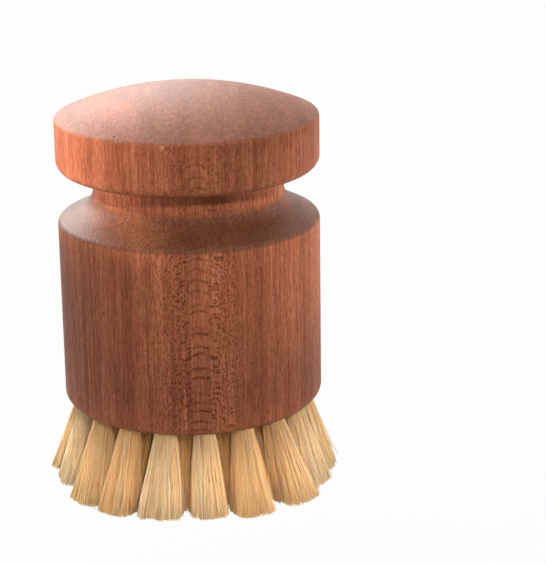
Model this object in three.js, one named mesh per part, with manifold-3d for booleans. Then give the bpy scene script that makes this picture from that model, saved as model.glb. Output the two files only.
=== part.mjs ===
// A round scrub brush: one turned hardwood handle whose underside is drilled with rings of blind holes.
// Each hole holds a tuft of plant fibre, folded double over a flat metal anchor that bites into the wood.
// Millimetres, +Z up. The brush stands on its bristle tips, with the origin under its middle.
import * as THREE from "three";
import { mergeGeometries, mergeVertices } from "three/addons/utils/BufferGeometryUtils.js";
import Module from "manifold-3d";

const wasm = await Module();
wasm.setup();

// Handle, from the underside up
const BODY_DIAMETER = 55;
const BODY_HEIGHT = 39.5;
const SHOULDER_RISE = 3.7;
const NECK_DIAMETER = 40;
const NECK_HEIGHT = 5.8;
const KNOB_DIAMETER = 55;
const KNOB_UNDERSIDE_RISE = 1.9;
const KNOB_SIDE_HEIGHT = 10.3;
const DOME_RISE = 5.8;

// Radii of the handle's turned corners
const FOOT_ROUND = 2.2;
const SHOULDER_ROUND = 1.4;
const SHOULDER_COVE = 2.9;
const KNOB_COVE = 1.5;
const KNOB_LOWER_ROUND = 3;
const RIM_ROUND = 1.8;

// Tuft holes: the outer ring leans out by the flare, and the rings inside it lean in proportion
const HOLE_DIAMETER = 4.4;
const HOLE_DEPTH = 11;
const HOLE_EDGE_WALL = 0.3;
const TUFT_SPACING = 8;
const FLARE_ANGLE = THREE.MathUtils.degToRad(15);
const FIRST_TUFT_ANGLE = THREE.MathUtils.degToRad(-85.2);

// Bristles: each strand is a lock of fibres that fills its share of the tuft
const BRISTLE_LENGTH = 17;
const TUFT_SPLAY = THREE.MathUtils.degToRad(6.5);
const STRANDS_PER_TUFT = 9;
const STRAND_SHARE = 0.22;
const FACE_SLICE = 2;

// The tips are uneven by this much before the trim, which takes this much off the longest
const TIP_UNEVENNESS = 1.5;
const TIP_TRIM = 0.5;

// Anchors: flat strips across the fold of each tuft
const ANCHOR_LENGTH = 6.2;
const ANCHOR_HEIGHT = 1.8;
const ANCHOR_THICKNESS = 0.5;
const ANCHOR_CORNER_CUT = 0.4;
const ANCHOR_TURN = THREE.MathUtils.degToRad(45);
const FOLD_THICKNESS = 1.2;

// Gap between pieces that fit into each other
const FIT_GAP = 0.3;

// Facets
const TURNED_SIDES = 48;
const ARC_DIVISIONS = 2;
const HOLE_SIDES = 8;
const STRAND_SIDES = 3;
const GOLDEN_ANGLE = Math.PI * (3 - Math.sqrt(5));
const GOLDEN_FRACTION = (Math.sqrt(5) - 1) / 2;

const wood = new THREE.MeshStandardMaterial({ color: 0x8a4a35, roughness: 0.5, metalness: 0 });
const fibre = new THREE.MeshStandardMaterial({ color: 0xd9b57e, roughness: 0.75, metalness: 0 });
const anchorMetal = new THREE.MeshStandardMaterial({ color: 0xb4b1a8, roughness: 0.4, metalness: 1 });

// Heights and radii that several pieces share
const underside = BRISTLE_LENGTH;
const sliceTop = underside + FACE_SLICE;
const faceRadius = BODY_DIAMETER / 2 - FOOT_ROUND;
const outerRingRadius = faceRadius - HOLE_EDGE_WALL - HOLE_DIAMETER / 2;
const fanHeight = outerRingRadius / Math.tan(FLARE_ANGLE);
const rootRadius = HOLE_DIAMETER / 2 - FIT_GAP;
const rootDepth = HOLE_DEPTH - FIT_GAP;
const anchorTopDepth = rootDepth - FOLD_THICKNESS - FIT_GAP;

// A closed geometry as a solid that can be joined and cut.
function solidFrom(geometry) {
  const bare = geometry.clone();
  bare.deleteAttribute("normal");
  bare.deleteAttribute("uv");
  const merged = mergeVertices(bare);
  const mesh = new wasm.Mesh({
    numProp: 3,
    vertProperties: new Float32Array(merged.attributes.position.array),
    triVerts: new Uint32Array(merged.index.array),
  });
  return new wasm.Manifold(mesh);
}

// A solid back as a geometry with flat-shaded facets.
function geometryFrom(solid) {
  const mesh = solid.getMesh();
  const geometry = new THREE.BufferGeometry();
  geometry.setAttribute("position", new THREE.BufferAttribute(mesh.vertProperties, 3));
  geometry.setIndex(new THREE.BufferAttribute(mesh.triVerts, 1));
  const facets = geometry.toNonIndexed();
  facets.computeVertexNormals();
  return facets;
}

function namedMesh(name, geometry, material) {
  const mesh = new THREE.Mesh(geometry, material);
  mesh.name = name;
  return mesh;
}

// A profile of [radius, height] points turned about Z.
function turned(points) {
  const profile = points.map(([radius, height]) => new THREE.Vector2(radius, height));
  return new THREE.LatheGeometry(profile, TURNED_SIDES).rotateX(Math.PI / 2);
}

// A box centred on Z, standing on the height given.
function standingBox(length, width, height, base) {
  return new THREE.BoxGeometry(length, width, height).translate(0, 0, base + height / 2);
}

// A straight round bar along Z, between two heights.
function standingBar(radius, sides, base, top) {
  const bar = new THREE.CylinderGeometry(radius, radius, top - base, sides);
  return bar.rotateX(Math.PI / 2).translate(0, 0, (base + top) / 2);
}

// Runs the path to a corner and round it on an arc, held to the length of the walls beside it.
function roundCorner(path, before, corner, after, radius) {
  const back = before.clone().sub(corner);
  const ahead = after.clone().sub(corner);
  const room = Math.min(back.length(), ahead.length()) / 2;
  back.normalize();
  ahead.normalize();
  const halfAngle = Math.acos(back.dot(ahead)) / 2;
  const run = Math.min(radius / Math.tan(halfAngle), room);
  const arcRadius = run * Math.tan(halfAngle);
  const start = back.clone().multiplyScalar(run).add(corner);
  const end = ahead.clone().multiplyScalar(run).add(corner);
  const inward = back.clone().add(ahead).normalize();
  const centre = inward.multiplyScalar(arcRadius / Math.sin(halfAngle)).add(corner);
  const startAngle = start.clone().sub(centre).angle();
  const endAngle = end.clone().sub(centre).angle();
  path.lineTo(start.x, start.y);
  path.absarc(centre.x, centre.y, arcRadius, startAngle, endAngle, back.cross(ahead) > 0);
}

// The handle's outline: straight sides and slopes with rounded corners, and a spherical dome on top.
function handleProfile() {
  const bodyRadius = BODY_DIAMETER / 2;
  const neckRadius = NECK_DIAMETER / 2;
  const knobRadius = KNOB_DIAMETER / 2;
  const shoulder = underside + BODY_HEIGHT;
  const neckBase = shoulder + SHOULDER_RISE;
  const neckTop = neckBase + NECK_HEIGHT;
  const knobBase = neckTop + KNOB_UNDERSIDE_RISE;
  const rim = knobBase + KNOB_SIDE_HEIGHT;
  const corners = [
    [0, underside, 0],
    [bodyRadius, underside, FOOT_ROUND],
    [bodyRadius, shoulder, SHOULDER_ROUND],
    [neckRadius, neckBase, SHOULDER_COVE],
    [neckRadius, neckTop, KNOB_COVE],
    [knobRadius, knobBase, KNOB_LOWER_ROUND],
    [knobRadius, rim, 0],
  ];
  const points = corners.map(([radius, height]) => new THREE.Vector2(radius, height));
  const path = new THREE.Path();
  path.moveTo(points[0].x, points[0].y);
  for (let i = 1; i < points.length - 1; i++) {
    roundCorner(path, points[i - 1], points[i], points[i + 1], corners[i][2]);
  }
  const domeRadius = (knobRadius ** 2 + DOME_RISE ** 2) / (2 * DOME_RISE);
  const domeCentre = rim + DOME_RISE - domeRadius;
  const rimCentreRadius = knobRadius - RIM_ROUND;
  const rimCentreRise = Math.sqrt((domeRadius - RIM_ROUND) ** 2 - rimCentreRadius ** 2);
  const rimEnd = Math.atan2(rimCentreRise, rimCentreRadius);
  path.absarc(rimCentreRadius, domeCentre + rimCentreRise, RIM_ROUND, 0, rimEnd, false);
  path.absarc(0, domeCentre, domeRadius, rimEnd, Math.PI / 2, false);
  return path.getPoints(ARC_DIVISIONS).map((point) => [point.x, point.y]);
}

// The rings of tufts, from the edge of the face to its centre. Every second ring is turned half a pitch.
function tuftRings() {
  const names = ["outer_ring", "middle_ring", "inner_ring"];
  const step = outerRingRadius / names.length;
  const rings = names.map((name, index) => {
    const radius = outerRingRadius - index * step;
    const count = Math.round((2 * Math.PI * radius) / TUFT_SPACING);
    const pitch = (2 * Math.PI) / count;
    const angles = Array.from({ length: count }, (_, i) => FIRST_TUFT_ANGLE + (i + index / 2) * pitch);
    const outerEdge = index === 0 ? faceRadius - FIT_GAP : radius + (step - FIT_GAP) / 2;
    return { name, radius, angles, outerEdge, innerEdge: radius - (step - FIT_GAP) / 2 };
  });
  const centre = { name: "centre", radius: 0, angles: [FIRST_TUFT_ANGLE], innerEdge: 0 };
  return [...rings, { ...centre, outerEdge: (step - FIT_GAP) / 2 }];
}

// A tuft's place: its origin is the middle of the hole's mouth, its X points outwards and its Z runs
// up the hole, towards the one point on the brush's axis from which all tufts fan out.
function tuftSeat(ring, angle) {
  const seat = new THREE.Group();
  seat.position.set(ring.radius * Math.cos(angle), ring.radius * Math.sin(angle), underside);
  seat.rotation.set(0, -Math.atan(ring.radius / fanHeight), angle, "ZYX");
  seat.updateMatrix();
  return seat;
}

// One geometry copied to every seat.
function atEachSeat(geometry, seats) {
  return mergeGeometries(seats.map((seat) => geometry.clone().applyMatrix4(seat.matrix)));
}

// The space that an anchor and its clearance take in the fold of the tuft and in the walls of the hole.
function anchorSpace() {
  const length = ANCHOR_LENGTH + 2 * FIT_GAP;
  const width = ANCHOR_THICKNESS + 2 * FIT_GAP;
  const height = ANCHOR_HEIGHT + 2 * FIT_GAP;
  const base = anchorTopDepth - ANCHOR_HEIGHT - FIT_GAP;
  return standingBox(length, width, height, base).rotateZ(ANCHOR_TURN);
}

// A flat strip on edge across the hole, with the corners cut on the edge that is driven in first.
function anchorStrip() {
  const half = ANCHOR_LENGTH / 2;
  const strip = new THREE.Shape();
  strip.moveTo(-half, 0);
  strip.lineTo(half, 0);
  strip.lineTo(half, ANCHOR_HEIGHT - ANCHOR_CORNER_CUT);
  strip.lineTo(half - ANCHOR_CORNER_CUT, ANCHOR_HEIGHT);
  strip.lineTo(ANCHOR_CORNER_CUT - half, ANCHOR_HEIGHT);
  strip.lineTo(-half, ANCHOR_HEIGHT - ANCHOR_CORNER_CUT);
  strip.closePath();
  const flat = new THREE.ExtrudeGeometry(strip, { depth: ANCHOR_THICKNESS, bevelEnabled: false });
  flat.translate(0, 0, -ANCHOR_THICKNESS / 2).rotateX(Math.PI / 2);
  return flat.translate(0, 0, anchorTopDepth - ANCHOR_HEIGHT).rotateZ(ANCHOR_TURN);
}

// The corners of a strand's level section at a height: the tuft leans out with the fan and widens by
// its splay, and its strands are laid out round its middle like the seeds of a sunflower.
function strandCorners(ring, angle, index, height) {
  const drop = underside - height;
  const reach = ring.radius * (1 + drop / fanHeight);
  const spread = rootRadius + drop * Math.tan(TUFT_SPLAY);
  const offset = spread * (1 - STRAND_SHARE) * Math.sqrt((index + 0.5) / STRANDS_PER_TUFT);
  const turn = angle + index * GOLDEN_ANGLE;
  const x = reach * Math.cos(angle) + offset * Math.cos(turn);
  const y = reach * Math.sin(angle) + offset * Math.sin(turn);
  return Array.from({ length: STRAND_SIDES }, (_, corner) => {
    const bearing = turn + (corner * 2 * Math.PI) / STRAND_SIDES;
    const radius = spread * STRAND_SHARE;
    return new THREE.Vector3(x + radius * Math.cos(bearing), y + radius * Math.sin(bearing), height);
  });
}

// A tapered strand from inside the face to its trimmed tip, closed by a level section at each end.
function strandGeometry(ring, angle, index) {
  const unevenEnd = TIP_UNEVENNESS * ((index * GOLDEN_FRACTION) % 1) - TIP_TRIM;
  const root = strandCorners(ring, angle, index, underside + FACE_SLICE / 2);
  const tip = strandCorners(ring, angle, index, Math.max(0, unevenEnd));
  const faces = [];
  for (let corner = 1; corner < STRAND_SIDES - 1; corner++) {
    faces.push(0, corner, corner + 1);
    faces.push(STRAND_SIDES, STRAND_SIDES + corner + 1, STRAND_SIDES + corner);
  }
  for (let corner = 0; corner < STRAND_SIDES; corner++) {
    const next = (corner + 1) % STRAND_SIDES;
    faces.push(corner, STRAND_SIDES + corner, STRAND_SIDES + next);
    faces.push(corner, STRAND_SIDES + next, next);
  }
  return new THREE.BufferGeometry().setFromPoints([...root, ...tip]).setIndex(faces);
}

// All the tufts of a ring, on the slice of the face that they grow from: strands below it, and above
// it the folded roots, which fill their holes and are slotted for the anchors.
function ringTufts(ring, seats) {
  const slice = turned(
    ring.innerEdge > 0
      ? [
          [ring.innerEdge, underside],
          [ring.outerEdge, underside],
          [ring.outerEdge, sliceTop],
          [ring.innerEdge, sliceTop],
          [ring.innerEdge, underside],
        ]
      : [
          [0, underside],
          [ring.outerEdge, underside],
          [ring.outerEdge, sliceTop],
          [0, sliceTop],
        ],
  );
  const strands = ring.angles.flatMap((angle) =>
    Array.from({ length: STRANDS_PER_TUFT }, (_, index) => strandGeometry(ring, angle, index)),
  );
  const root = standingBar(rootRadius, HOLE_SIDES, FACE_SLICE / 2, rootDepth);
  const solid = solidFrom(slice)
    .add(solidFrom(atEachSeat(root, seats)))
    .subtract(solidFrom(atEachSeat(anchorSpace(), seats)))
    .add(solidFrom(mergeGeometries(strands)));
  return geometryFrom(solid);
}

// The handle: the turned blank, let in for the slices of its face, drilled and slotted.
function handleGeometry(seats) {
  const letIn = turned([
    [0, underside - FACE_SLICE],
    [faceRadius, underside - FACE_SLICE],
    [faceRadius, sliceTop],
    [0, sliceTop],
  ]);
  const hole = standingBar(HOLE_DIAMETER / 2, HOLE_SIDES, 0, HOLE_DEPTH);
  const solid = solidFrom(turned(handleProfile()))
    .subtract(solidFrom(letIn))
    .subtract(solidFrom(atEachSeat(hole, seats)))
    .subtract(solidFrom(atEachSeat(anchorSpace(), seats)));
  return geometryFrom(solid);
}

// Assembly
const brush = new THREE.Group();
const allSeats = [];
for (const ring of tuftRings()) {
  const seats = ring.angles.map((angle) => tuftSeat(ring, angle));
  seats.forEach((seat, index) => {
    const number = seats.length > 1 ? "_" + String(index + 1).padStart(2, "0") : "";
    seat.add(namedMesh(ring.name + "_anchor" + number, anchorStrip(), anchorMetal));
    brush.add(seat);
  });
  const tuftsName = ring.name + (seats.length > 1 ? "_tufts" : "_tuft");
  brush.add(namedMesh(tuftsName, ringTufts(ring, seats), fibre));
  allSeats.push(...seats);
}
brush.add(namedMesh("handle", handleGeometry(allSeats), wood));

export default brush;
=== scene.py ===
import math

import bpy
import numpy as np
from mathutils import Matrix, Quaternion, Vector


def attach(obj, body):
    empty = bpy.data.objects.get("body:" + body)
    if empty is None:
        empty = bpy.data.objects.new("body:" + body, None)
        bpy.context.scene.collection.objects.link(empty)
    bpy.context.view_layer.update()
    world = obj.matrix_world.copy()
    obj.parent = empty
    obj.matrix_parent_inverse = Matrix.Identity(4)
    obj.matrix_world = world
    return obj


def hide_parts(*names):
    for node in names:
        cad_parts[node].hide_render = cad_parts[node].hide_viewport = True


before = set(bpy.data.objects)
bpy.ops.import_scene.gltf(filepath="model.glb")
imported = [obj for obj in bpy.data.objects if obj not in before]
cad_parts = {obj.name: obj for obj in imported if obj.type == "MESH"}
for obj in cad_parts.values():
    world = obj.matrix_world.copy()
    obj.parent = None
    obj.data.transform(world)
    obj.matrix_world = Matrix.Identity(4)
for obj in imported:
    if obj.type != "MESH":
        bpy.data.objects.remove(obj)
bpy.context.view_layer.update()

# The handle
# One turning of oiled red-brown hardwood: a drum for a body, a waisted neck for the fingers and a
# domed knob for the palm. The grain stands upright, and the underside is drilled with blind holes
# for the tufts, all fanned out from one point on the axis.
UNDERSIDE = 0.017
BODY_RADIUS = 0.0275
BODY_HEIGHT = 0.0395
SHOULDER_RISE = 0.0037
NECK_RADIUS = 0.020
NECK_HEIGHT = 0.0056
KNOB_RADIUS = 0.0275
KNOB_UNDERSIDE_RISE = 0.0019
KNOB_SIDE_HEIGHT = 0.0105
DOME_RISE = 0.0058
FOOT_ROUND = 0.0022
SHOULDER_ROUND = 0.0014
SHOULDER_COVE = 0.0044
KNOB_COVE = 0.0015
KNOB_LOWER_ROUND = 0.0024
RIM_ROUND = 0.0009
SHOULDER = UNDERSIDE + BODY_HEIGHT
NECK_BASE = SHOULDER + SHOULDER_RISE
NECK_TOP = NECK_BASE + NECK_HEIGHT
KNOB_BASE = NECK_TOP + KNOB_UNDERSIDE_RISE
RIM = KNOB_BASE + KNOB_SIDE_HEIGHT
HANDLE_SIDES = 240
ARC_STEPS = 8
DOME_STEPS = 56
SHARPEST_SMOOTH_EDGE = math.radians(35)

# The tuft holes
HOLE_RADIUS = 0.0022
HOLE_DEPTH = 0.011
HOLE_EDGE_WALL = 0.0003
HOLE_SIDES = 24
DRILL_RUN_OUT = 0.001
OUTER_LEAN = math.radians(15)
OUTER_RING_RADIUS = BODY_RADIUS - FOOT_ROUND - HOLE_EDGE_WALL - HOLE_RADIUS
FAN_HEIGHT = OUTER_RING_RADIUS / math.tan(OUTER_LEAN)
FIRST_HOLE = math.radians(-85.2)
RING_SIZES = {"outer": 18, "middle": 12, "inner": 6, "centre": 1}

# Places on the handle's bake map, in widths of the wall laid flat
DOME_MAP_PLACE = 0.17
FOOT_MAP_PLACE = 0.50
DISC_MAP_RISE = 0.17
HOLE_MAP_SIZE = (0.02, 0.15)
HOLE_MAP_PLACE = (0.85, 0.75)


def rounded_run(corners):
    """Straight runs joined by arcs: an arc of radius R at a corner of half angle h leaves each run R/tan(h)
    from the corner, and its centre lies R/sin(h) from the corner on the line that halves it."""
    pieces = [np.array([corners[0][:2]])]
    for before, corner, after in zip(corners, corners[1:], corners[2:]):
        here = np.array(corner[:2])
        back = np.array(before[:2]) - here
        ahead = np.array(after[:2]) - here
        back /= np.linalg.norm(back)
        ahead /= np.linalg.norm(ahead)
        half = math.acos(float(back @ ahead)) / 2
        middle = here + (back + ahead) / np.linalg.norm(back + ahead) * corner[2] / math.sin(half)
        start = here + back * corner[2] / math.tan(half) - middle
        end = here + ahead * corner[2] / math.tan(half) - middle
        sweep = math.atan2(start[0] * end[1] - start[1] * end[0], start @ end)
        turn = np.linspace(0, sweep, ARC_STEPS + 1)[:, None]
        across = np.array([-start[1], start[0]])
        pieces.append(middle + np.cos(turn) * start + np.sin(turn) * across)
    return np.concatenate(pieces)


def handle_outline():
    """(radius, height) from the middle of the underside to the top: rounded runs up to the knob's side,
    then the rim's arc, tangent to the side and to the dome, and the dome's arc to the axis."""
    runs = rounded_run(
        [
            (0.0, UNDERSIDE, 0.0),
            (BODY_RADIUS, UNDERSIDE, FOOT_ROUND),
            (BODY_RADIUS, SHOULDER, SHOULDER_ROUND),
            (NECK_RADIUS, NECK_BASE, SHOULDER_COVE),
            (NECK_RADIUS, NECK_TOP, KNOB_COVE),
            (KNOB_RADIUS, KNOB_BASE, KNOB_LOWER_ROUND),
            (KNOB_RADIUS, RIM, 0.0),
        ]
    )
    dome_radius = (KNOB_RADIUS**2 + DOME_RISE**2) / (2 * DOME_RISE)
    dome_middle = RIM + DOME_RISE - dome_radius
    rim_reach = KNOB_RADIUS - RIM_ROUND
    rim_rise = math.sqrt((dome_radius - RIM_ROUND) ** 2 - rim_reach**2)
    rim_end = math.atan2(rim_rise, rim_reach)
    turn = np.linspace(0, rim_end, ARC_STEPS + 1)
    rim = np.stack([rim_reach + RIM_ROUND * np.cos(turn), RIM_ROUND * np.sin(turn)], 1)
    rim[:, 1] += dome_middle + rim_rise
    turn = np.linspace(rim_end, math.pi / 2, DOME_STEPS + 1)[1:]
    dome = np.stack([dome_radius * np.cos(turn), dome_middle + dome_radius * np.sin(turn)], 1)
    dome[-1, 0] = 0.0
    return np.concatenate([runs, rim, dome])


def lay_flat(mesh, *patches):
    """The mesh's bake map: a place for each corner, patch after patch in the order of the faces."""
    layer = mesh.uv_layers.new(name="OFBake")
    laid = np.concatenate([patch.reshape(-1, 2) for patch in patches])
    layer.uv.foreach_set("vector", laid.astype(np.float32).ravel())


def turned_piece(name, outline, sides):
    """Surface of revolution: the point at outline step i and turn a is (r cos a, r sin a, z). The first and
    last steps lie on the axis and close as fans. Its bake map lays the wall out flat, turn across and
    outline length up, with the underside and the dome as discs above it."""
    turn = np.arange(sides) * 2 * np.pi / sides
    rings = outline[1:-1]
    points = np.empty((len(rings), sides, 3))
    points[..., 0] = rings[:, :1] * np.cos(turn)
    points[..., 1] = rings[:, :1] * np.sin(turn)
    points[..., 2] = rings[:, 1:]
    number = np.arange(len(rings) * sides).reshape(len(rings), sides)
    after = np.roll(number, -1, axis=1)
    walls = np.stack([number[:-1], after[:-1], after[1:], number[1:]], -1).reshape(-1, 4)
    foot = np.full(sides, number.size)
    top = np.full(sides, number.size + 1)
    foot_fan = np.stack([foot, after[0], number[0]], -1)
    top_fan = np.stack([number[-1], after[-1], top], -1)
    ends = [[0.0, 0.0, outline[0, 1]], [0.0, 0.0, outline[-1, 1]]]
    mesh = bpy.data.meshes.new(name)
    mesh.from_pydata(
        np.concatenate([points.reshape(-1, 3), ends]).tolist(),
        [],
        walls.tolist() + foot_fan.tolist() + top_fan.tolist(),
    )

    girth = 2 * np.pi * BODY_RADIUS
    length = np.concatenate([[0.0], np.cumsum(np.linalg.norm(np.diff(rings, axis=0), axis=1))])
    across = np.arange(sides + 1) / sides
    flat = np.stack(np.broadcast_arrays(across, length[:, None] / girth), -1)
    disc_height = length[-1 - DOME_STEPS] / girth + DISC_MAP_RISE
    around = across * 2 * np.pi
    disc = rings[:, :1, None] / girth * np.stack([np.cos(around), np.sin(around)], -1)
    dome_disc = disc + [DOME_MAP_PLACE, disc_height]
    foot_disc = disc + [FOOT_MAP_PLACE, disc_height]
    corner = np.array([[0, 0], [0, 1], [1, 1], [1, 0]])
    step = np.arange(len(rings) - 1)[:, None, None] + corner[:, 0]
    side = np.arange(sides)[:, None] + corner[:, 1]
    wall_map = flat[step, side]
    wall_map[-DOME_STEPS:] = dome_disc[step, side][-DOME_STEPS:]
    column = np.arange(sides)
    foot_middle = np.broadcast_to([FOOT_MAP_PLACE, disc_height], (sides, 2))
    dome_middle = np.broadcast_to([DOME_MAP_PLACE, disc_height], (sides, 2))
    foot_map = np.stack([foot_middle, foot_disc[0, column + 1], foot_disc[0, column]], 1)
    top_map = np.stack([dome_disc[-1, column], dome_disc[-1, column + 1], dome_middle], 1)
    lay_flat(mesh, wall_map, foot_map, top_map)
    return mesh


def hole_seats():
    """Rings of holes, each ring at an even share of the outer radius and every second one turned half a
    pitch. A seat's middle is the hole's mouth, its X points outwards, and its Z runs up the hole."""
    seats = []
    for index, (ring, count) in enumerate(RING_SIZES.items()):
        radius = OUTER_RING_RADIUS * (1 - index / (len(RING_SIZES) - 1))
        lean = math.atan(radius / FAN_HEIGHT)
        for number in range(count):
            angle = FIRST_HOLE + (number + index / 2 * (count > 1)) * 2 * math.pi / count
            away = np.array([math.cos(angle), math.sin(angle), 0.0])
            up = np.array([0.0, 0.0, 1.0])
            out_axis = away * math.cos(lean) + up * math.sin(lean)
            hole_axis = up * math.cos(lean) - away * math.sin(lean)
            axes = np.stack([out_axis, np.cross(hole_axis, out_axis), hole_axis], 1)
            seats.append((ring, number + 1, away * radius + up * UNDERSIDE, axes))
    return seats


def drill_bits(seats):
    """Round bars on the seats' Z axes, from below the face to the bottoms of the holes: the point at turn a
    is (R cos a, R sin a) at the bar's lower or upper end. The bake map lays turn across and height up."""
    turn = np.arange(HOLE_SIDES) * 2 * np.pi / HOLE_SIDES
    ring = np.stack([np.cos(turn), np.sin(turn)], 1) * HOLE_RADIUS
    bar = np.zeros((2, HOLE_SIDES, 3))
    bar[:, :, :2] = ring
    bar[0, :, 2] = -DRILL_RUN_OUT
    bar[1, :, 2] = HOLE_DEPTH
    number = np.arange(2 * HOLE_SIDES).reshape(2, HOLE_SIDES)
    after = np.roll(number, -1, axis=1)
    sides = np.stack([number[0], after[0], after[1], number[1]], -1)
    points = np.concatenate([bar.reshape(-1, 3) @ axes.T + mouth for _, _, mouth, axes in seats])
    starts = (np.arange(len(seats)) * 2 * HOLE_SIDES)[:, None, None]
    faces = (starts + sides).reshape(-1, 4).tolist()
    faces += (starts[:, 0] + number[0, ::-1]).tolist()
    faces += (starts[:, 0] + number[1]).tolist()
    mesh = bpy.data.meshes.new("drill_bits")
    mesh.from_pydata(points.tolist(), [], faces)
    at = np.zeros(len(mesh.loops), np.int32)
    mesh.loops.foreach_get("vertex_index", at)
    local = bar.reshape(-1, 3)[at % (2 * HOLE_SIDES)]
    unrolled = np.stack([np.arctan2(local[:, 1], local[:, 0]), local[:, 2] / HOLE_DEPTH], 1)
    lay_flat(mesh, unrolled * HOLE_MAP_SIZE + HOLE_MAP_PLACE)
    return mesh


def placed(name, mesh):
    """A piece at the origin that rides with the brush."""
    piece = bpy.data.objects.new(name, mesh)
    bpy.context.scene.collection.objects.link(piece)
    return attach(piece, "root")


def fresh_material(name):
    """A material with its node tree and its shader."""
    material = bpy.data.materials.new(name)
    material.use_nodes = True
    return material, material.node_tree, material.node_tree.nodes["Principled BSDF"]


def add_node(tree, kind, sockets=(), **settings):
    """A shader node with its settings, its constants and the links that feed it."""
    made = tree.nodes.new("ShaderNode" + kind)
    for setting, value in settings.items():
        setattr(made, setting, value)
    for socket, value in dict(sockets).items():
        if isinstance(value, bpy.types.NodeSocket):
            tree.links.new(value, made.inputs[socket])
        else:
            made.inputs[socket].default_value = value
    return made


def colour_ramp(tree, factor, stops):
    """A ramp of (position, linear colour) stops."""
    made = add_node(tree, "ValToRGB", {"Fac": factor})
    ramp = made.color_ramp
    while len(ramp.elements) < len(stops):
        ramp.elements.new(1.0)
    for element, (position, colour) in zip(ramp.elements, stops):
        element.position = position
        element.color = (*colour, 1.0)
    return made.outputs["Color"]


def stretched_noise(tree, place, stretch, detail, roughness):
    """Noise on a place scaled along each axis, so that its grains are long where the scale is small."""
    scaled = add_node(tree, "VectorMath", {0: place, 1: stretch}, operation="MULTIPLY").outputs[0]
    sockets = {"Vector": scaled, "Scale": 1.0, "Detail": detail, "Roughness": roughness}
    return add_node(tree, "TexNoise", sockets).outputs["Fac"]


def spread_over(tree, value, low, high, to_low=0.0, to_high=1.0):
    """A value carried from one range to another, smoothly and held at the ends."""
    sockets = {"Value": value, 1: low, 2: high, 3: to_low, 4: to_high}
    return add_node(tree, "MapRange", sockets, interpolation_type="SMOOTHSTEP").outputs["Result"]


def math_node(tree, operation, first, second):
    """One operation on two values."""
    return add_node(tree, "Math", {0: first, 1: second}, operation=operation).outputs[0]


def blended(tree, mode, factor, first, second):
    """Two colours mixed in one mode."""
    sockets = {"Factor": factor, "A": first, "B": second}
    made = add_node(tree, "Mix", data_type="RGBA", blend_type=mode)
    for socket in made.inputs:
        if socket.enabled and socket.name in sockets:
            value = sockets[socket.name]
            if isinstance(value, bpy.types.NodeSocket):
                tree.links.new(value, socket)
            else:
                socket.default_value = value
    return next(socket for socket in made.outputs if socket.enabled)


# The rays: how they bow down and wobble, and where rungs end and dashes begin. Lengths are in
# millimetres, and the edges of marks are in cells.
RAY_BOW = 1.3
RAY_BOW_SQUARE = 6.0
RUNG_WOBBLE = 2.2
RUNGS_PER_MM = 0.43
RUNG_EDGE = (0.06, 0.17)
RUNG_REACH = (1.5, 2.4)
RUNG_BREAKS = (0.30, 0.58)
RUNG_FAINTEST = 0.25
DASH_WOBBLE = 0.9
DASHES_PER_MM_DEEP = 10.0
DASHES_PER_MM_UP = 1.0
DASH_EDGE = (0.18, 0.40)
DASH_START = (1.4, 2.3)
DASH_FADE = (4.5, 11.0)
DASH_FAINTEST = 0.35
FAINT_CELLS = 0.6
FAINTEST_CELL = 0.45
KNOB_RAY_FADE = (56.0, 62.0)
KNOB_RAY_SHARE = 0.65
RAY_STRENGTH = 0.78


def cell_marks(tree, cells, near, far):
    """Marks round the middles of Voronoi cells, full nearer than one distance and gone past the other,
    some cells' stronger than others'."""
    mark = spread_over(tree, cells.outputs["Distance"], near, far, 1.0, 0.0)
    chance = add_node(tree, "SeparateXYZ", {0: cells.outputs["Color"]}).outputs["X"]
    strength = spread_over(tree, chance, 0.0, FAINT_CELLS, FAINTEST_CELL, 1.0)
    return math_node(tree, "MULTIPLY", mark, strength)


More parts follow.
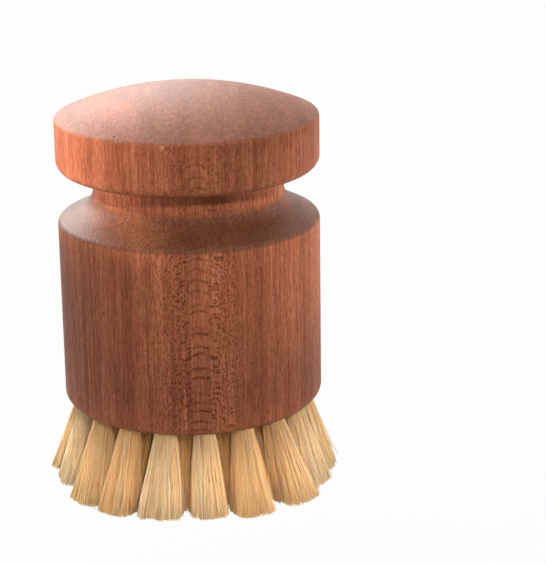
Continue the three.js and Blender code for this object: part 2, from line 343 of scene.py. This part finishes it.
def ray_figure(tree, grain, axes):
    """Rays are thin sheets along X that bow down by x squared over x squared plus a constant. Where the
    wall faces Y they show as rungs, which are cells along the height, and beside that as dashes, which
    are cells in depth and height and so crowd together as the wall turns away."""
    square = math_node(tree, "MULTIPLY", axes["X"], axes["X"])
    away = math_node(tree, "POWER", square, 0.5)
    bow = math_node(tree, "DIVIDE", square, math_node(tree, "ADD", square, RAY_BOW_SQUARE))
    height = math_node(tree, "ADD", axes["Z"], math_node(tree, "MULTIPLY", bow, RAY_BOW))
    wobble = stretched_noise(tree, grain, (0.30, 0.20, 0.12), 1.0, 0.5)

    rung_height = math_node(tree, "ADD", height, math_node(tree, "MULTIPLY", wobble, RUNG_WOBBLE))
    rung_place = math_node(tree, "MULTIPLY", rung_height, RUNGS_PER_MM)
    sockets = {"W": rung_place, "Scale": 1.0, "Randomness": 0.6}
    rungs = cell_marks(tree, add_node(tree, "TexVoronoi", sockets, voronoi_dimensions="1D"), *RUNG_EDGE)
    rungs = math_node(tree, "MULTIPLY", rungs, spread_over(tree, away, *RUNG_REACH, 1.0, 0.0))
    broken = stretched_noise(tree, grain, (0.9, 0.3, 0.5), 2.0, 0.6)
    kept = spread_over(tree, broken, *RUNG_BREAKS, RUNG_FAINTEST, 1.0)
    rungs = math_node(tree, "MULTIPLY", rungs, kept)

    depth = math_node(tree, "ADD", axes["Y"], math_node(tree, "MULTIPLY", wobble, DASH_WOBBLE))
    sockets = {
        "X": math_node(tree, "MULTIPLY", depth, DASHES_PER_MM_DEEP),
        "Y": math_node(tree, "MULTIPLY", height, DASHES_PER_MM_UP),
    }
    sheets = add_node(tree, "CombineXYZ", sockets).outputs[0]
    sockets = {"Vector": sheets, "Scale": 1.0, "Randomness": 1.0}
    dashes = cell_marks(tree, add_node(tree, "TexVoronoi", sockets, voronoi_dimensions="2D"), *DASH_EDGE)
    dashes = math_node(tree, "MULTIPLY", dashes, spread_over(tree, away, *DASH_START))
    dashes = math_node(tree, "MULTIPLY", dashes, spread_over(tree, away, *DASH_FADE, 1.0, DASH_FAINTEST))
    rays = math_node(tree, "MAXIMUM", rungs, dashes)
    knob_fade = spread_over(tree, axes["Z"], *KNOB_RAY_FADE, 1.0, KNOB_RAY_SHARE)
    return math_node(tree, "MULTIPLY", rays, knob_fade)


# Colours of the wood, linear, and tints that multiply them
WOOD_TONES = [
    (0.0, (0.215, 0.066, 0.0315)),
    (0.45, (0.280, 0.092, 0.0445)),
    (0.75, (0.322, 0.109, 0.0535)),
    (1.0, (0.380, 0.135, 0.0670)),
]
THREAD_TINTS = [(0.0, (0.79, 0.76, 0.74)), (1.0, (1.18, 1.19, 1.21))]
FIBRE_TINTS = [(0.0, (0.78, 0.75, 0.73)), (1.0, (1.17, 1.17, 1.17))]
PORE_BROWN = (0.085, 0.020, 0.0075, 1.0)
# Pale specks: partly end-grain speckle and partly painted glints of the sheen
PALE_SPECK_AND_GLINT = (0.60, 0.33, 0.22, 1.0)
# Painted light and wear: pales the crown of the dome
WEAR_AND_LIGHT_TINT = (1.46, 1.41, 1.33, 1.0)
# Painted shade and oil: darkens the shoulder's end grain under the knob
OIL_AND_SHADE_TINT = (0.37, 0.35, 0.28, 1.0)

# The grain's turn and shares, and where the surface faces up: 0 on a wall and 1 on top
MILLIMETRES = (1000.0, 1000.0, 1000.0)
FIGURE_TURN = (0.0, 0.0, math.radians(-3.2))
BAND_SHARE = 0.45
STREAK_SHARE = 0.55
TONE_RANGE = (0.35, 0.65)
GRAIN_RANGE = (0.30, 0.70)
PORE_RANGE = (0.58, 0.70)
PORE_STRENGTH = 0.55
END_GRAIN_THREADS = 0.25
END_GRAIN_FIBRES = 0.30
WALL_FACING = (0.25, 0.55)
END_GRAIN_FACING = (0.05, 0.50)
CROWN_FACING = (0.915, 0.985)
POLISH_FACING = (0.10, 0.60)
PALM_HEIGHTS = (66.0, 76.0)
SHOULDER_OIL = 0.54
PALM_OIL = 0.32
DULL_GRAIN = 0.58
SATIN_GRAIN = 0.48

# A dent and a chip on the knob's edge: middle, radius and colour
KNOCKS = [
    ((-0.01415, -0.02176, 0.07886), 0.0005, (0.16, 0.045, 0.020)),
    ((-0.00495, -0.02705, 0.07775), 0.0006, (0.42, 0.19, 0.100)),
]
KNOCK_FLAT = 0.4
KNOCK_STRENGTH = 0.8
KNOCK_DEPTH = 4.0


def oiled_hardwood():
    """Upright grain in solid coordinates, in millimetres. Growth bands lie across X, pores and fibres run
    up Z, and rays lie along X. On the dome and the shoulder the grain shows as speckle, and pale specks
    there are partly the grain and partly painted glints of the sheen. The shoulder's end grain is darker,
    partly for oil soaked into it and partly as painted shade under the knob. The crown of the dome is
    paler, partly for the palm's wear and partly as painted light from above. A dent and a chip mark the
    knob's edge."""
    wood, tree, shader = fresh_material("oiled_hardwood")
    coordinates = add_node(tree, "TexCoord").outputs
    sockets = {"Vector": coordinates["Object"], "Rotation": FIGURE_TURN, "Scale": MILLIMETRES}
    grain = add_node(tree, "Mapping", sockets).outputs["Vector"]
    axes = add_node(tree, "SeparateXYZ", {0: grain}).outputs
    facing = add_node(tree, "SeparateXYZ", {0: coordinates["Normal"]}).outputs["Z"]
    wall = spread_over(tree, math_node(tree, "ABSOLUTE", facing, 0.0), *WALL_FACING, 1.0, 0.0)
    end_grain = spread_over(tree, facing, *END_GRAIN_FACING)
    palm = spread_over(tree, axes["Z"], *PALM_HEIGHTS)

    bands = stretched_noise(tree, grain, (0.34, 0.10, 0.006), 3.0, 0.55)
    streaks = stretched_noise(tree, grain, (1.5, 0.9, 0.035), 3.0, 0.6)
    tone = math_node(tree, "MULTIPLY", bands, BAND_SHARE)
    tone = math_node(tree, "ADD", tone, math_node(tree, "MULTIPLY", streaks, STREAK_SHARE))
    colour = colour_ramp(tree, spread_over(tree, tone, *TONE_RANGE), WOOD_TONES)

    threads = stretched_noise(tree, grain, (2.4, 2.4, 0.26), 4.0, 0.7)
    light_thread = spread_over(tree, threads, *GRAIN_RANGE)
    thread_share = spread_over(tree, end_grain, 0.0, 1.0, 1.0, END_GRAIN_THREADS)
    thread_tint = colour_ramp(tree, light_thread, THREAD_TINTS)
    colour = blended(tree, "MULTIPLY", thread_share, colour, thread_tint)

    fibres = stretched_noise(tree, grain, (5.0, 5.0, 0.6), 3.0, 0.65)
    light_fibre = spread_over(tree, fibres, *GRAIN_RANGE)
    fibre_share = spread_over(tree, end_grain, 0.0, 1.0, 1.0, END_GRAIN_FIBRES)
    colour = blended(tree, "MULTIPLY", fibre_share, colour, colour_ramp(tree, light_fibre, FIBRE_TINTS))

    pores = stretched_noise(tree, grain, (3.6, 3.6, 0.9), 2.0, 0.5)
    pore_dark = spread_over(tree, pores, *PORE_RANGE, 0.0, PORE_STRENGTH)
    pore_dark = math_node(tree, "MULTIPLY", pore_dark, thread_share)
    colour = blended(tree, "MIX", pore_dark, colour, PORE_BROWN)

    # Painted light: the crown of the dome is paled, partly for the palm's wear and partly as light falling
    # from above
    wear_and_light = math_node(tree, "MULTIPLY", spread_over(tree, facing, *CROWN_FACING), palm)
    colour = blended(tree, "MULTIPLY", wear_and_light, colour, WEAR_AND_LIGHT_TINT)
    # Painted shade: the upward end grain below the palm, the shoulder, is darkened, partly for soaked oil
    # and partly as the shade under the knob
    soaked_and_shaded = math_node(tree, "MULTIPLY", end_grain, math_node(tree, "SUBTRACT", 1.0, palm))
    colour = blended(tree, "MULTIPLY", soaked_and_shaded, colour, OIL_AND_SHADE_TINT)
    # Pale specks on the end grain: partly the grain's speckle and partly painted glints of the sheen
    specks_and_glints = stretched_noise(tree, grain, (5.0, 5.0, 5.0), 2.0, 0.6)
    specks_and_glints = spread_over(tree, specks_and_glints, *PORE_RANGE, 0.0, PORE_STRENGTH)
    colour = blended(tree, "MIX", math_node(tree, "MULTIPLY", end_grain, specks_and_glints), colour, PALE_SPECK_AND_GLINT)

    rays = math_node(tree, "MULTIPLY", ray_figure(tree, grain, axes), wall)
    colour = blended(tree, "MIX", math_node(tree, "MULTIPLY", rays, RAY_STRENGTH), colour, PORE_BROWN)

    relief = math_node(tree, "MULTIPLY", math_node(tree, "ADD", light_fibre, light_thread), thread_share)
    relief = math_node(tree, "SUBTRACT", relief, pore_dark)
    for place, radius, bruise in KNOCKS:
        sockets = {0: coordinates["Object"], 1: place}
        gap = add_node(tree, "VectorMath", sockets, operation="DISTANCE").outputs["Value"]
        knock = spread_over(tree, gap, radius * KNOCK_FLAT, radius, KNOCK_STRENGTH, 0.0)
        colour = blended(tree, "MIX", knock, colour, (*bruise, 1.0))
        relief = math_node(tree, "SUBTRACT", relief, math_node(tree, "MULTIPLY", knock, KNOCK_DEPTH))

    tree.links.new(colour, shader.inputs["Base Color"])
    roughness = spread_over(tree, threads, *GRAIN_RANGE, DULL_GRAIN, SATIN_GRAIN)
    tree.links.new(roughness, shader.inputs["Roughness"])
    shader.inputs["Specular IOR Level"].default_value = 0.13
    polish = spread_over(tree, facing, *POLISH_FACING)
    oil = spread_over(tree, palm, 0.0, 1.0, SHOULDER_OIL, PALM_OIL)
    tree.links.new(math_node(tree, "MULTIPLY", polish, oil), shader.inputs["Coat Weight"])
    shader.inputs["Coat Roughness"].default_value = 0.5
    sockets = {"Strength": 0.5, "Distance": 0.00006, "Height": relief}
    bumped = add_node(tree, "Bump", sockets).outputs["Normal"]
    tree.links.new(bumped, shader.inputs["Normal"])
    tree.links.new(bumped, shader.inputs["Coat Normal"])
    return wood


seats = hole_seats()
handle = placed("turned_handle", turned_piece("turned_handle", handle_outline(), HANDLE_SIDES))
drill = bpy.data.objects.new("drill_bits", drill_bits(seats))
bpy.context.scene.collection.objects.link(drill)
boring = handle.modifiers.new("Bored holes", "BOOLEAN")
boring.operation = "DIFFERENCE"
boring.solver = "EXACT"
boring.object = drill
bored = bpy.data.meshes.new_from_object(handle.evaluated_get(bpy.context.evaluated_depsgraph_get()))
handle.modifiers.clear()
handle.data = bored
bpy.data.objects.remove(drill)
bored.shade_smooth()
bored.set_sharp_from_angle(angle=SHARPEST_SMOOTH_EDGE)
bored.materials.clear()
bored.materials.append(oiled_hardwood())
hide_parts("handle")

# The anchors
# Short flat strips of bright metal, one on edge across the fold of each tuft, driven into the walls of
# the holes. They are out of sight in the wood and keep their solids.
DRAWING_LINES_PER_METRE = (9000.0, 9000.0, 400.0)
DRAWING_RANGE = (0.3, 0.7)
BRIGHT_LINE = 0.28
DULL_LINE = 0.45


def drawn_metal():
    """Bare metal with fine drawing lines in its roughness."""
    metal, tree, shader = fresh_material("drawn_metal")
    place = add_node(tree, "TexCoord").outputs["Object"]
    lines = stretched_noise(tree, place, DRAWING_LINES_PER_METRE, 2.0, 0.5)
    shader.inputs["Base Color"].default_value = (0.50, 0.48, 0.44, 1.0)
    shader.inputs["Metallic"].default_value = 1.0
    roughness = spread_over(tree, lines, *DRAWING_RANGE, BRIGHT_LINE, DULL_LINE)
    tree.links.new(roughness, shader.inputs["Roughness"])
    return metal


anchor_metal = drawn_metal()
for name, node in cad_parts.items():
    if "_anchor" in name:
        node.data.materials.clear()
        node.data.materials.append(anchor_metal)

# The tufts
# Thirty-seven bundles of stiff straw-coloured plant fibre. Each is folded double over its anchor and
# pushed into its hole, fans out below the face in soft locks, and is trimmed level with the rest.
# The low tones of the middle, inner and centre rings are painted shade: those tufts stand in the shade of
# the outer ring
RING_FORMS = {
    "outer": {"fibres": 800, "tone": 0.50, "width": 1.0, "flare": 1.12},
    "middle": {"fibres": 480, "tone": 0.14, "width": 1.35, "flare": 0.8, "push": 0.0032},
    "inner": {"fibres": 360, "tone": 0.17, "width": 1.45, "flare": 0.8, "push": 0.0014},
    "centre": {"fibres": 360, "tone": 0.17, "width": 1.45, "flare": 0.8},
}

# Tufts of the outer ring that wear has changed, and whose different tones are painted light and shade on
# one fibre. In both tables width is a share of the tips' radii, a higher tone is paler, and in metres
# push is outwards and lean is round the ring.
TUFT_WEAR_AND_LIGHT = {
    1: {"width": 0.88, "tone": 0.44},
    2: {"width": 0.95, "tone": 0.28, "push": 0.0010},
    3: {"width": 1.10, "tone": 0.30, "push": 0.0010},
    4: {"tone": 0.47, "push": -0.0004},
    5: {"tone": 0.50, "push": -0.0008},
    15: {"tone": 0.66, "push": -0.0009},
    16: {"width": 0.95, "tone": 0.38, "push": 0.0006, "lean": 0.0020},
    17: {"width": 0.95, "tone": 0.30, "push": 0.0008, "lean": 0.0010},
    18: {"width": 1.05, "tone": 0.48},
}
FIBRE_RADIUS = 0.000084
FIBRE_THINNEST = 0.82
FIBRE_THICKEST = 1.18
FIBRE_SIDES = 3
MOUTH_RADIUS = 0.0021
MOUTH_FILL = 0.97
TIP_RADIUS = np.array([0.0039, 0.0044])
TIP_SQUARENESS = 4
LOCKS = 16

# The fold, in the hole: the anchor's turn in the seat, its top edge and the fibre's way round it
ANCHOR_TURN = math.radians(45)
ANCHOR_AXES = np.array(
    [[math.cos(ANCHOR_TURN), -math.sin(ANCHOR_TURN)], [math.sin(ANCHOR_TURN), math.cos(ANCHOR_TURN)]]
)
ANCHOR_TOP = 0.0092
ANCHOR_CLEAR = 0.00055
HELD_WIDTH = 0.88
FOLD_RISE = 0.00035
FOLD_ROUNDNESS = 0.52

# Steps along a leg: from the tip to the mouth, and from the mouth to the anchor's top
BELOW_FACE = np.array([1.0, 0.5, 0.0])
IN_HOLE = np.array([0.55, 1.0])

# Scatter, in shares of the tuft's radius
PLACE_SCATTER = 0.020
LOCK_REACH = 0.95
LOCK_SCATTER = 0.06
LOCK_DRAW = 0.06
TIP_SCATTER = 0.025
STRAY_SCATTER = 0.10
STRAY_SHARE = 0.02

# Scatter, in metres
TUFT_SHIFT = 0.0003
FIBRE_BOW = 0.00012
LOCK_SHORT = 0.0004
TRIM_SCATTER = 0.00014
BROKEN_SHORT = 0.003
BROKEN_SHARE = 0.06

# Scatter of the tone, which runs from 0 to 1
TUFT_TONE_SCATTER = 0.04
LOCK_TONE_SCATTER = 0.035
FIBRE_TONE_SCATTER = 0.045

# A fibre's strip on the bake map: the margins beside it and past its ends, in which the end caps lie
STRIP_MARGIN = 0.06
STRIP_WIDTH = 0.88
END_MARGIN = 0.03
STRIP_LENGTH = 0.94
CAP_STEP = 0.44
CAP_RISE = np.array([0.004, 0.026, 0.004])

# The least length that anything is divided by
TINIEST = 1e-9


def sunflower(count, radius):
    """Even points on a disc: point i at radius R sqrt((i + 1/2) / n), each turned by the golden angle."""
    index = np.arange(count)
    reach = radius * np.sqrt((index + 0.5) / count)
    turn = index * math.pi * (3 - math.sqrt(5))
    return np.stack([reach * np.cos(turn), reach * np.sin(turn)], -1)


def mirrored_legs(chance, fibres):
    """Places of two legs a fibre on a disc of radius 1: the first at radius sqrt((i + 1/2) / n) on one
    half, turned by a golden share of it, and the second its mirror across the anchor, both a little
    scattered."""
    index = np.arange(fibres)
    reach = np.sqrt((index + 0.5) / fibres)
    turn = (index * (math.sqrt(5) - 1) / 2 % 1) * math.pi
    half_disc = np.stack([reach * np.cos(turn), reach * np.sin(turn)], -1)
    place = np.stack([half_disc, half_disc * [1, -1]])
    place += chance.normal(0, PLACE_SCATTER, place.shape)
    return place


def tuft_tips(chance, place, width, push, lean):
    """Tips of the legs, and how short and how pale their locks are. A tip is drawn towards its lock and
    scattered, and the round tuft is squared: a tip in the direction (c, s) goes out by the inverse fourth
    root of c to the fourth plus s to the fourth. Then it is scaled to the tuft's radii and shifted."""
    locks = sunflower(LOCKS, LOCK_REACH)
    locks += chance.normal(0, LOCK_SCATTER, locks.shape)
    lock = np.linalg.norm(place[:, :, None] - locks, axis=-1).argmin(-1)
    lock_short = chance.uniform(0, LOCK_SHORT, LOCKS)[lock]
    lock_tone = chance.normal(0, LOCK_TONE_SCATTER, LOCKS)[lock]
    drawn = place + LOCK_DRAW * (locks[lock] - place)
    stray = chance.random(lock.shape) < STRAY_SHARE
    scatter = np.where(stray, STRAY_SCATTER, TIP_SCATTER)[..., None]
    tip = (drawn + chance.normal(0, 1, place.shape) * scatter) @ ANCHOR_AXES.T
    direction = np.abs(tip) / np.maximum(np.linalg.norm(tip, axis=-1, keepdims=True), TINIEST)
    tip *= (direction**TIP_SQUARENESS).sum(-1, keepdims=True) ** (-1 / TIP_SQUARENESS)
    tip *= TIP_RADIUS * width
    tip = (tip + chance.normal(0, TUFT_SHIFT, 2) + [push, lean]) @ ANCHOR_AXES
    return tip, lock_short, lock_tone


def fibre_paths(chance, axes, fibres, tone, width, flare, push=0.0, lean=0.0):
    """Paths of folded fibres in the seat's own axes, X along the anchor. A leg runs from its trimmed tip
    to the mouth, narrowing from the tip's place to the mouth's by a power of the way, its flare. It parts
    round the anchor, easing by 3 u squared less 2 u cubed, and goes over it to the other leg. Tips pushed
    by their neighbours or by wear lie further out or round the ring."""
    place = mirrored_legs(chance, fibres)
    tip, lock_short, lock_tone = tuft_tips(chance, place, width, push, lean)
    legs = place.shape[:2]
    mouth = place * MOUTH_RADIUS * MOUTH_FILL
    mouth_reach = np.maximum(np.linalg.norm(mouth, axis=-1), TINIEST)
    mouth *= np.minimum(1, MOUTH_RADIUS / mouth_reach)[..., None]

    cut = lock_short + chance.exponential(TRIM_SCATTER, legs)
    cut += (chance.random(legs) < BROKEN_SHARE) * chance.uniform(0, BROKEN_SHORT, legs)
    level = tip @ ANCHOR_AXES.T @ axes[2, :2]
    drop = (cut - UNDERSIDE - level) / axes[2, 2]

    belly = (BELOW_FACE * (1 - BELOW_FACE) * 4)[:, None]
    bow = chance.normal(0, FIBRE_BOW, (*legs, 2))[:, :, None] * belly
    swing = BELOW_FACE[:, None] ** flare
    below = mouth[:, :, None] * (1 - swing) + tip[:, :, None] * swing + bow
    depth_below = drop[..., None] * BELOW_FACE

    side = np.array([1.0, -1.0])[:, None]
    parted = ANCHOR_CLEAR + np.abs(mouth[..., 1]) * (1 - ANCHOR_CLEAR / MOUTH_RADIUS)
    held = np.stack([mouth[..., 0] * HELD_WIDTH, parted * side], -1)
    ease = (IN_HOLE**2 * (3 - 2 * IN_HOLE))[:, None]
    inside = mouth[:, :, None] * (1 - ease) + held[:, :, None] * ease
    depth_inside = np.broadcast_to(ANCHOR_TOP * IN_HOLE, (*legs, len(IN_HOLE)))

    fold = np.zeros((fibres, 1, 3))
    fold[:, 0, 0] = held[0, :, 0]
    fold[:, 0, 2] = ANCHOR_TOP + (FOLD_RISE + FOLD_ROUNDNESS * parted[0])

    leg = np.concatenate(
        [
            np.concatenate([below, depth_below[..., None]], -1),
            np.concatenate([inside, depth_inside[..., None]], -1),
        ],
        2,
    )
    path = np.concatenate([leg[0], fold, leg[1, :, ::-1]], 1)
    tone = tone + chance.normal(0, TUFT_TONE_SCATTER) + lock_tone
    tone = tone + chance.normal(0, FIBRE_TONE_SCATTER, legs)
    first_leg = leg.shape[2] + 1
    tones = np.empty(path.shape[:2])
    tones[:, :first_leg] = np.clip(tone[0], 0, 1)[:, None]
    tones[:, first_leg:] = np.clip(tone[1], 0, 1)[:, None]
    return path, tones


def fibre_tubes(path, radius):
    """Tubes along paths: corner c of a ring is the path's point plus the radius times cos c along X, made
    square to the tangent, and sin c along the tangent crossed with that. It suits paths that bend
    across X."""
    tangent = np.gradient(path, axis=1)
    tangent /= np.linalg.norm(tangent, axis=-1, keepdims=True)
    first = np.array([1.0, 0.0, 0.0]) - tangent * tangent[..., :1]
    first /= np.linalg.norm(first, axis=-1, keepdims=True)
    second = np.cross(tangent, first)
    corner = np.arange(FIBRE_SIDES) * 2 * np.pi / FIBRE_SIDES
    reach = radius[:, None, None, None]
    ring = np.cos(corner)[:, None] * first[:, :, None] + np.sin(corner)[:, None] * second[:, :, None]
    return path[:, :, None] + reach * ring


def tuft_mesh(name, seed, mouth, axes, form):
    """A tuft's fibres as one mesh, with each fibre's tone and its share of the way to the root as
    attributes, and a bake map in which every fibre has its own upright strip."""
    chance = np.random.default_rng(seed)
    path, tones = fibre_paths(chance, axes, **form)
    fibres = form["fibres"]
    points = fibre_tubes(path, FIBRE_RADIUS * chance.uniform(FIBRE_THINNEST, FIBRE_THICKEST, fibres))
    turned = np.eye(3)
    turned[:2, :2] = ANCHOR_AXES
    points = points @ turned.T @ axes.T + mouth
    points[..., 2] = np.maximum(points[..., 2], 0)
    rings, sides = points.shape[1:3]
    number = np.arange(fibres * rings * sides).reshape(fibres, rings, sides)
    after = np.roll(number, -1, axis=2)
    walls = np.stack([number[:, :-1], after[:, :-1], after[:, 1:], number[:, 1:]], -1)
    mesh = bpy.data.meshes.new(name)
    mesh.from_pydata(
        points.reshape(-1, 3).tolist(),
        [],
        walls.reshape(-1, 4).tolist() + number[:, 0, ::-1].tolist() + number[:, -1].tolist(),
    )
    mesh.shade_smooth()

    strip = np.arange(fibres)[:, None, None, None]
    around = (np.arange(sides)[:, None] + [0, 1, 1, 0]) / sides
    along = (np.arange(rings - 1)[:, None, None] + [0, 0, 1, 1]) / (rings - 1)
    wall_across = (strip + STRIP_MARGIN + STRIP_WIDTH * around) / fibres
    wall_map = np.stack(np.broadcast_arrays(wall_across, END_MARGIN + STRIP_LENGTH * along), -1)
    strip = np.arange(fibres)[:, None]
    cap_across = (strip + STRIP_MARGIN + CAP_STEP * np.arange(sides)) / fibres
    near_map = np.stack(np.broadcast_arrays(cap_across, CAP_RISE), -1)
    far_map = np.stack(np.broadcast_arrays(cap_across, 1 - CAP_RISE), -1)
    lay_flat(mesh, wall_map, near_map, far_map)

    tone = mesh.attributes.new("tone", "FLOAT", "POINT")
    tone.data.foreach_set("value", np.repeat(tones, sides, axis=1).astype(np.float32).ravel())
    rise = np.clip(points[..., 2] / UNDERSIDE, 0, 1)
    root = mesh.attributes.new("root", "FLOAT", "POINT")
    root.data.foreach_set("value", rise.astype(np.float32).ravel())
    return mesh


STRAW_TONES = [
    (0.0, (0.58, 0.23, 0.065)),
    (0.2, (0.91, 0.45, 0.175)),
    (0.5, (0.96, 0.58, 0.280)),
    (0.75, (0.98, 0.69, 0.380)),
    (1.0, (0.98, 0.81, 0.530)),
]
# Painted shade: darkens the fibres near the wood face, under the handle
ROOT_SHADE_TINT = (0.78, 0.64, 0.48, 1.0)
ROOT_SHADE_RANGE = (0.55, 1.0)
ROOT_SHADE_STRENGTH = 0.35


def plant_fibre():
    """Straw to honey by each fibre's own tone, with painted shade towards the root, under the wood."""
    fibre, tree, shader = fresh_material("plant_fibre")
    tone = add_node(tree, "Attribute", attribute_name="tone").outputs["Fac"]
    root = add_node(tree, "Attribute", attribute_name="root").outputs["Fac"]
    # Painted shade: fibres are darkened towards the wood face, where the handle shades them
    root_shade = spread_over(tree, root, *ROOT_SHADE_RANGE, 0.0, ROOT_SHADE_STRENGTH)
    straw = blended(tree, "MULTIPLY", root_shade, colour_ramp(tree, tone, STRAW_TONES), ROOT_SHADE_TINT)
    tree.links.new(straw, shader.inputs["Base Color"])
    shader.inputs["Roughness"].default_value = 0.6
    shader.inputs["Specular IOR Level"].default_value = 0.2
    shader.inputs["Subsurface Weight"].default_value = 0.7
    shader.inputs["Subsurface Radius"].default_value = (1.0, 0.8, 0.6)
    shader.inputs["Subsurface Scale"].default_value = 0.0005
    return fibre


fibre = plant_fibre()
for seed, (ring, number, mouth, axes) in enumerate(seats):
    name = f"{ring}_tuft_{number:02d}" if RING_SIZES[ring] > 1 else "centre_tuft_bundle"
    wear_and_light = TUFT_WEAR_AND_LIGHT.get(number, {}) if ring == "outer" else {}
    tuft = placed(name, tuft_mesh(name, seed, mouth, axes, RING_FORMS[ring] | wear_and_light))
    tuft.data.materials.append(fibre)
    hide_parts(f"{ring}_ring_tufts" if RING_SIZES[ring] > 1 else "centre_tuft")

# The table, the light and the camera
# A white table in a white room. A broad soft lamp stands behind on the left. Narrower ones light the
# knob's left side, the right side and the front, and the front one throws the knob's shadow on the neck.
# Thin beams pick out the shoulder and the tufts.
TABLE_HALF = 3.0
TABLE_GREY = (0.52, 0.52, 0.52, 1.0)
TABLE_GLOW = 0.965
ROOM_LEVEL = 0.28
WHITE = (1.0, 1.0, 1.0, 1.0)


def sees_backdrop(tree):
    """1 for the rays that see the background: from the camera, off gloss and through glass."""
    ray = add_node(tree, "LightPath").outputs
    seen = math_node(tree, "MAXIMUM", ray["Is Camera Ray"], ray["Is Glossy Ray"])
    return math_node(tree, "MAXIMUM", seen, ray["Is Transmission Ray"])


def white_table():
    """Matt white that shows nearly as white as the room and keeps a faint shadow."""
    table = bpy.data.materials.new("white_table")
    table.use_nodes = True
    tree = table.node_tree
    tree.nodes.clear()
    matt = add_node(tree, "BsdfDiffuse", {"Color": TABLE_GREY}).outputs[0]
    glow = add_node(tree, "Emission", {"Color": WHITE, "Strength": 1.0}).outputs[0]
    share = math_node(tree, "MULTIPLY", sees_backdrop(tree), TABLE_GLOW)
    mixed = add_node(tree, "MixShader", {0: share, 1: matt, 2: glow}).outputs[0]
    add_node(tree, "OutputMaterial", {"Surface": mixed})
    return table


sheet = bpy.data.meshes.new("table")
corners = np.array([[-1, -1, 0], [1, -1, 0], [1, 1, 0], [-1, 1, 0]]) * TABLE_HALF
sheet.from_pydata(corners.tolist(), [], [[0, 1, 2, 3]])
sheet.materials.append(white_table())
table = bpy.data.objects.new("table", sheet)
bpy.context.scene.collection.objects.link(table)

world = bpy.data.worlds.new("white_room")
world.use_nodes = True
tree = world.node_tree
tree.nodes.clear()
room_light = add_node(tree, "Background", {"Color": WHITE, "Strength": ROOM_LEVEL}).outputs[0]
backdrop = add_node(tree, "Background", {"Color": WHITE, "Strength": 1.0}).outputs[0]
room = add_node(tree, "MixShader", {0: sees_backdrop(tree), 1: room_light, 2: backdrop}).outputs[0]
add_node(tree, "OutputWorld", {"Surface": room})
bpy.context.scene.world = world

OPEN_SPREAD = 180.0
WARM_WHITE = (1.0, 0.95, 0.90)
STRAW_WHITE = (1.0, 0.93, 0.84)
TUFT_BEAM = 3.7


def soft_lamp(name, spot, target, size, level, colour, spread=OPEN_SPREAD):
    """A lamp that lights a facing surface at its target to the level, where 1 shows a colour as it is
    written: its power is level times pi squared times the distance squared. A spread held to a half
    angle h gathers the beam, so the power is that times (tan h - h) / tan h, and a lamp wider than its
    beam's radius lights the target with only that much of its width. Held lamps show in no gloss."""
    lamp = bpy.data.lights.new(name, "AREA")
    lamp.shape = "RECTANGLE"
    lamp.size, lamp.size_y = size
    aim = Vector(target) - Vector(spot)
    lamp.energy = level * math.pi**2 * aim.length_squared
    if spread < OPEN_SPREAD:
        half = math.radians(spread) / 2
        lamp.energy *= (math.tan(half) - half) / math.tan(half)
        lamp.energy *= max(1.0, size[0] / (aim.length * math.tan(half)))
    lamp.color = colour
    lamp.spread = math.radians(spread)
    holder = bpy.data.objects.new(name, lamp)
    holder.location = spot
    holder.visible_camera = False
    holder.visible_glossy = spread == OPEN_SPREAD
    holder.rotation_euler = aim.to_track_quat("-Z", "Y").to_euler()
    bpy.context.scene.collection.objects.link(holder)


soft_lamp(
    "back_left_lamp",
    spot=(-0.29, 0.60, 0.43),
    target=(0, 0, 0.06),
    size=(0.75, 0.45),
    level=1.15,
    colour=(1.0, 0.97, 0.94),
)
soft_lamp(
    "left_lamp",
    spot=(-0.40, -0.195, 0.050),
    target=(-0.012, 0, 0.085),
    size=(0.03, 0.02),
    level=4.5,
    colour=(1.0, 0.87, 0.82),
    spread=8.6,
)
soft_lamp(
    "shoulder_lamp",
    spot=(-0.340, -0.220, 0.386),
    target=(-0.017, -0.013, 0.0593),
    size=(0.030, 0.004),
    level=2.1,
    colour=(1.0, 0.97, 0.97),
    spread=1.6,
)
soft_lamp(
    "right_lamp",
    spot=(0.325, 0.120, 0.014),
    target=(0.01, 0, 0.062),
    size=(0.05, 0.03),
    level=2.8,
    colour=WARM_WHITE,
    spread=15.0,
)
soft_lamp(
    "front_lamp",
    spot=(0.09, -0.53, 0.345),
    target=(0, 0, 0.037),
    size=(0.08, 0.05),
    level=1.17,
    colour=WARM_WHITE,
    spread=7.0,
)
soft_lamp(
    "tuft_lamp",
    spot=(0.03, -0.62, 0.19),
    target=(0, -0.03, 0.005),
    size=(0.14, 0.01),
    level=0.60,
    colour=STRAW_WHITE,
    spread=TUFT_BEAM,
)
soft_lamp(
    "left_tuft_lamp",
    spot=(-0.54, -0.31, 0.19),
    target=(-0.028, -0.010, 0.005),
    size=(0.08, 0.01),
    level=0.63,
    colour=STRAW_WHITE,
    spread=TUFT_BEAM,
)
soft_lamp(
    "right_tuft_lamp",
    spot=(0.53, -0.33, 0.19),
    target=(0.026, -0.012, 0.005),
    size=(0.08, 0.01),
    level=0.96,
    colour=STRAW_WHITE,
    spread=TUFT_BEAM,
)

IMAGE_LONG_SIDE = 564
FOCAL_PIXELS = 2011
SENSOR_WIDTH = 36.0
CAMERA_PLACE = (0.0, -0.40764, 0.1720)
CAMERA_TARGET = (0.01743, 0.0, 0.04108)
CAMERA_ROLL = math.radians(-0.81)
camera_data = bpy.data.cameras.new("camera")
camera_data.sensor_width = SENSOR_WIDTH
camera_data.lens = FOCAL_PIXELS / IMAGE_LONG_SIDE * camera_data.sensor_width
camera = bpy.data.objects.new("camera", camera_data)
camera.location = CAMERA_PLACE
sight = Vector(CAMERA_TARGET) - camera.location
roll = Quaternion((0, 0, 1), CAMERA_ROLL)
camera.rotation_euler = (sight.to_track_quat("-Z", "Y") @ roll).to_euler()
bpy.context.scene.collection.objects.link(camera)
bpy.context.scene.camera = camera
bpy.context.scene.view_settings.view_transform = "Standard"
